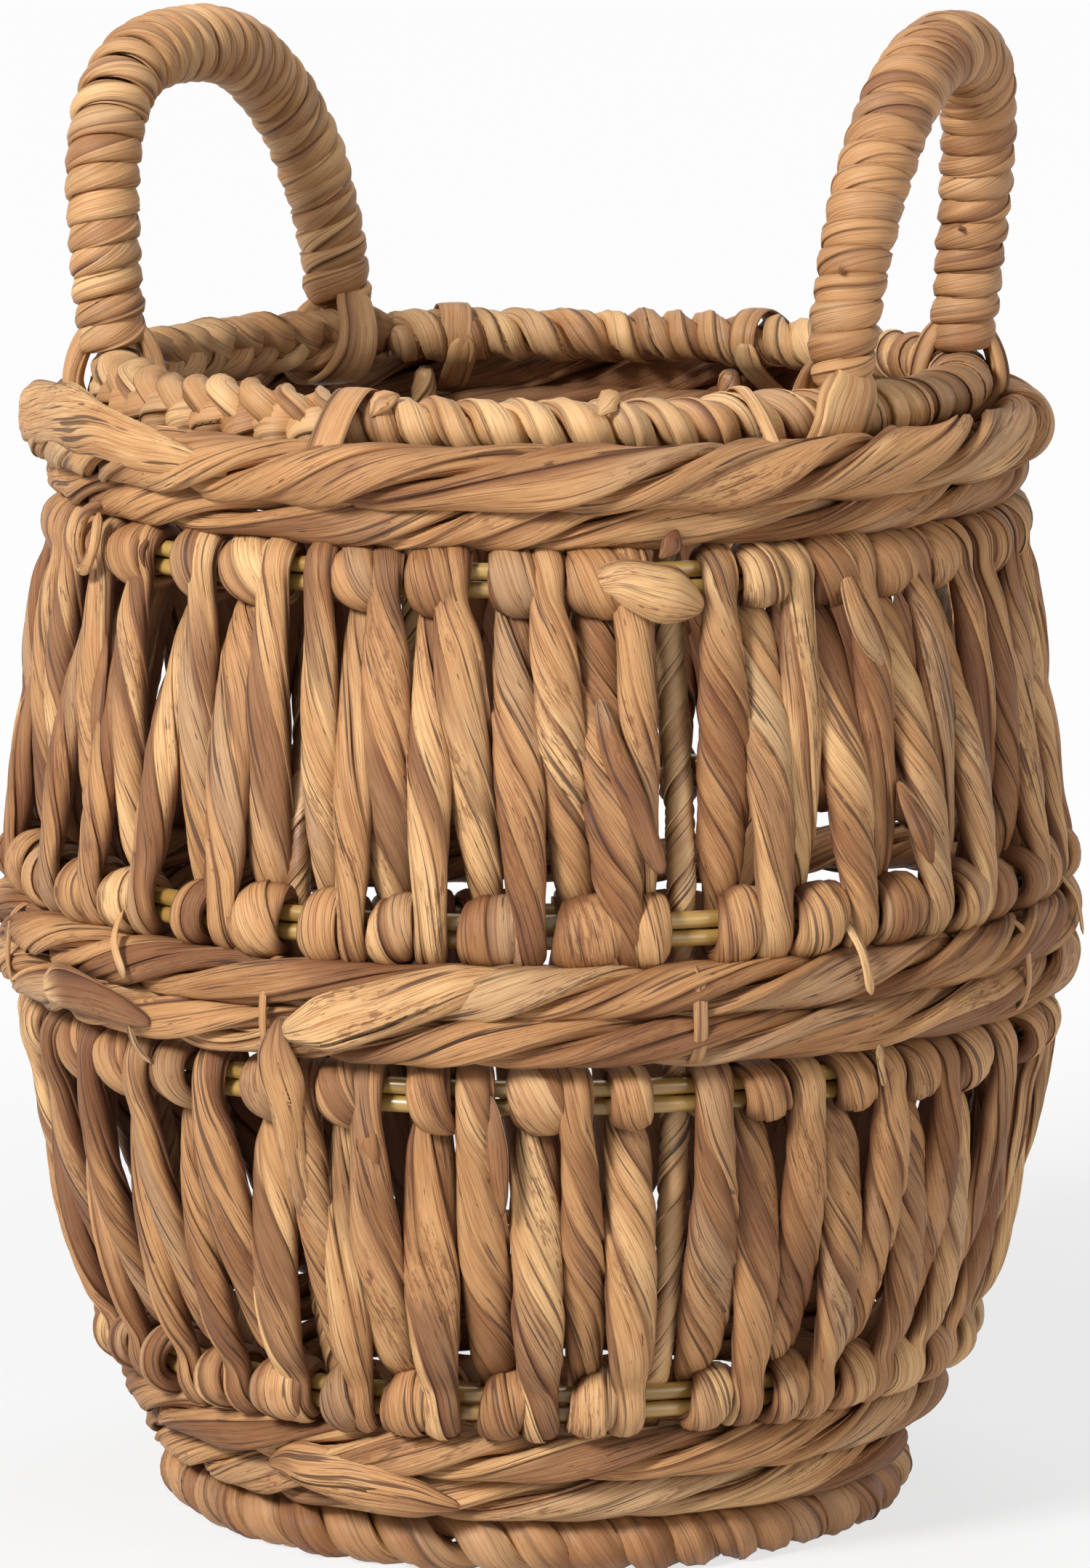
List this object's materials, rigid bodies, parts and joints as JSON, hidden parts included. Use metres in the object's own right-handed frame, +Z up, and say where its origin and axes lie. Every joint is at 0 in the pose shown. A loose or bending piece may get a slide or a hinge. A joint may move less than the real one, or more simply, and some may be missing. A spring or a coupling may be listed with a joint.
{
  "type": "belly basket",
  "caption": "Round bulging storage basket of twisted leaf strand wound on cane hoops, with rope bands and two hinged wrapped arch handles on a plaited rim.",
  "frame": {"origin": "on the floor under the middle of the basket, at the centre of its bounding box's bottom", "axes": "+Z up, the longest extent; the pictured front faces -Y; +X to the viewer's right"},
  "size_m": [0.2866, 0.2866, 0.3964],
  "materials": {
    "panel_strand": "dried twisted leaf strand, matt, streaked light tan to brown",
    "rope_leaf": "thick twisted leaf rope, matt with dark streaks",
    "plait_leaf": "plaited leaf, light cream-tan, satin",
    "handle_leaf": "smooth leaf strip wound in overlapping turns, satin",
    "tie_leaf": "flat leaf strip, satin",
    "cane": "glossy yellow-olive cane",
    "rib_wrap": "cane stake wrapped in lacquered leaf, glossy",
    "mat_leaf": "woven leaf mat, matt"
  },
  "bodies": {
    "basket": {"rim_plait": "plait_leaf", "foot_plait": "plait_leaf", "collar_rope": "rope_leaf", "waist_rope": "rope_leaf", "base_rope": "rope_leaf", "shoulder_hoop_upper_cane": "cane", "shoulder_hoop_lower_cane": "cane", "waist_top_hoop_upper_cane": "cane", "waist_top_hoop_lower_cane": "cane", "waist_low_hoop_upper_cane": "cane", "waist_low_hoop_lower_cane": "cane", "bottom_hoop_upper_cane": "cane", "bottom_hoop_lower_cane": "cane", "upper_panel_bay_1": "panel_strand", "upper_panel_bay_2": "panel_strand", "upper_panel_bay_3": "panel_strand", "upper_panel_bay_4": "panel_strand", "upper_panel_bay_5": "panel_strand", "upper_panel_bay_6": "panel_strand", "upper_panel_bay_7": "panel_strand", "upper_panel_bay_8": "panel_strand", "lower_panel_bay_1": "panel_strand", "lower_panel_bay_2": "panel_strand", "lower_panel_bay_3": "panel_strand", "lower_panel_bay_4": "panel_strand", "lower_panel_bay_5": "panel_strand", "lower_panel_bay_6": "panel_strand", "lower_panel_bay_7": "panel_strand", "lower_panel_bay_8": "panel_strand", "rib_1": "rib_wrap", "rib_2": "rib_wrap", "rib_3": "rib_wrap", "rib_4": "rib_wrap", "rib_5": "rib_wrap", "rib_6": "rib_wrap", "rib_7": "rib_wrap", "rib_8": "rib_wrap", "base_mat": "mat_leaf", "base_stick_under": "cane", "base_stick_over": "cane", "collar_tie_1": "tie_leaf", "collar_tie_2": "tie_leaf", "collar_tie_3": "tie_leaf", "collar_tie_4": "tie_leaf", "waist_tie_1": "tie_leaf", "waist_tie_2": "tie_leaf", "waist_tie_3": "tie_leaf", "waist_tie_4": "tie_leaf", "waist_tie_5": "tie_leaf", "waist_tie_6": "tie_leaf", "waist_tie_7": "tie_leaf", "waist_tie_8": "tie_leaf"},
    "left_handle": {"left_handle_core": "cane", "left_handle_wrap": "handle_leaf", "left_handle_first_strap": "tie_leaf", "left_handle_second_strap": "tie_leaf"},
    "right_handle": {"right_handle_core": "cane", "right_handle_wrap": "handle_leaf", "right_handle_first_strap": "tie_leaf", "right_handle_second_strap": "tie_leaf"}
  },
  "joints": [
    {"name": "left_handle_swing", "type": "hinge", "parent": "basket", "child": "left_handle", "pos_m": [-0.08247, 0.04955, 0.29814], "axis": [0.515, 0.8572, 0], "range_deg": [-20, 30]},
    {"name": "right_handle_swing", "type": "hinge", "parent": "basket", "child": "right_handle", "pos_m": [0.09316, -0.03688, 0.29814], "axis": [-0.3681, -0.9298, 0], "range_deg": [-20, 30]}
  ]
}
